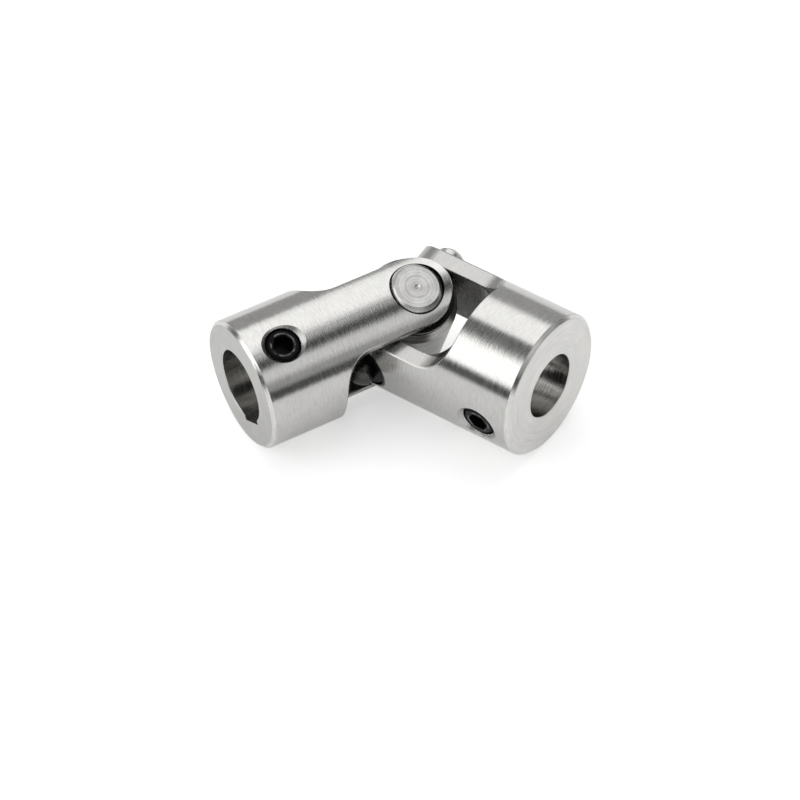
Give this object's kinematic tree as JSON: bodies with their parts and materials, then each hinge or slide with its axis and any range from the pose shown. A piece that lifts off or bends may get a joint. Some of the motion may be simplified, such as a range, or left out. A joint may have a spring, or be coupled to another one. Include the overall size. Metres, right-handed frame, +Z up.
{
  "type": "universal shaft coupling",
  "caption": "Steel universal joint coupling: forked hubs hinged on a centre block by crossed pins, joining round shafts at an angle, held by set screws.",
  "frame": {"origin": "centre of the bounding box's bottom face, on the surface the coupling lies on", "axes": "+Z up from that surface, with the two hubs spread along X as it lies bent: the left hub towards -X and the right hub towards +X, and the seen side towards -Y"},
  "size_m": [0.0504, 0.0316, 0.02],
  "materials": {
    "left_steel": "satin turned and milled",
    "right_steel": "satin turned and milled",
    "block_steel": "satin turned",
    "pin_steel": "fine turned",
    "washer_steel": "satin",
    "black_screw": "black oxide"
  },
  "bodies": {
    "left": {"left_yoke": "left_steel", "left_set_screw": "black_screw"},
    "cross": {"centre_block": "block_steel", "large_pin": "pin_steel", "upper_washer": "washer_steel", "lower_washer": "washer_steel"},
    "right": {"right_yoke": "right_steel", "small_pin": "pin_steel", "right_set_screw": "black_screw"}
  },
  "joints": [
    {"name": "large_pin_hinge", "type": "hinge", "parent": "left", "child": "cross", "pos_m": [0.00067, 0.00578, 0.01], "axis": [0.1751, -0.3813, 0.9077], "range_deg": [-1.2, 129.6]},
    {"name": "small_pin_hinge", "type": "hinge", "parent": "cross", "child": "right", "pos_m": [0.00067, 0.00578, 0.01], "axis": [-0.5777, -0.7864, -0.2189], "range_deg": [-44.1, 1.1]}
  ]
}
